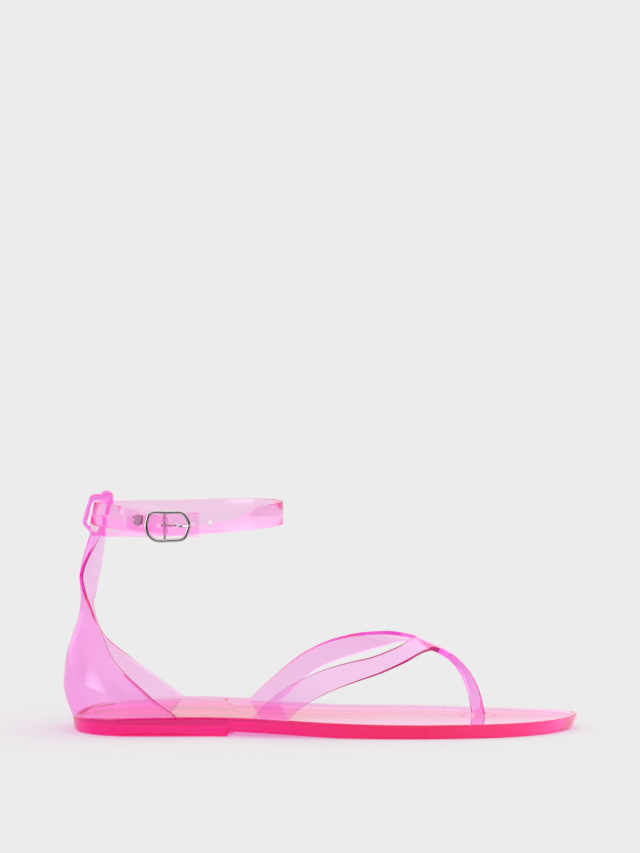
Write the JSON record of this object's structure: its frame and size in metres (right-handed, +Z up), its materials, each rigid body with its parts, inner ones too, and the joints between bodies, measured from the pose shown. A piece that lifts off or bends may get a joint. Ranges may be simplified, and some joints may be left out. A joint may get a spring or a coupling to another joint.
{
  "type": "jelly sandal",
  "caption": "Flat clear vinyl sandal for the right foot, with a toe post, a cupped heel with a tall neck, and a buckled ankle strap.",
  "frame": {"origin": "centre of the object's box, on the floor", "axes": "+X towards the toe, +Y towards the inner (medial) side, +Z up"},
  "size_m": [0.2568, 0.0856, 0.1201],
  "materials": {
    "clear_pink_sole": "clear pink vinyl, glossy",
    "clear_pink_strap": "clear pink vinyl, glossy",
    "polished_steel": "polished steel"
  },
  "bodies": {
    "root": {"sole": "clear_pink_sole", "heel_counter": "clear_pink_strap", "toe_strap": "clear_pink_strap", "ankle_strap": "clear_pink_strap", "buckle_chape": "clear_pink_strap", "buckle_frame": "polished_steel", "buckle_prong": "polished_steel", "rivet": "polished_steel"}
  },
  "joints": []
}
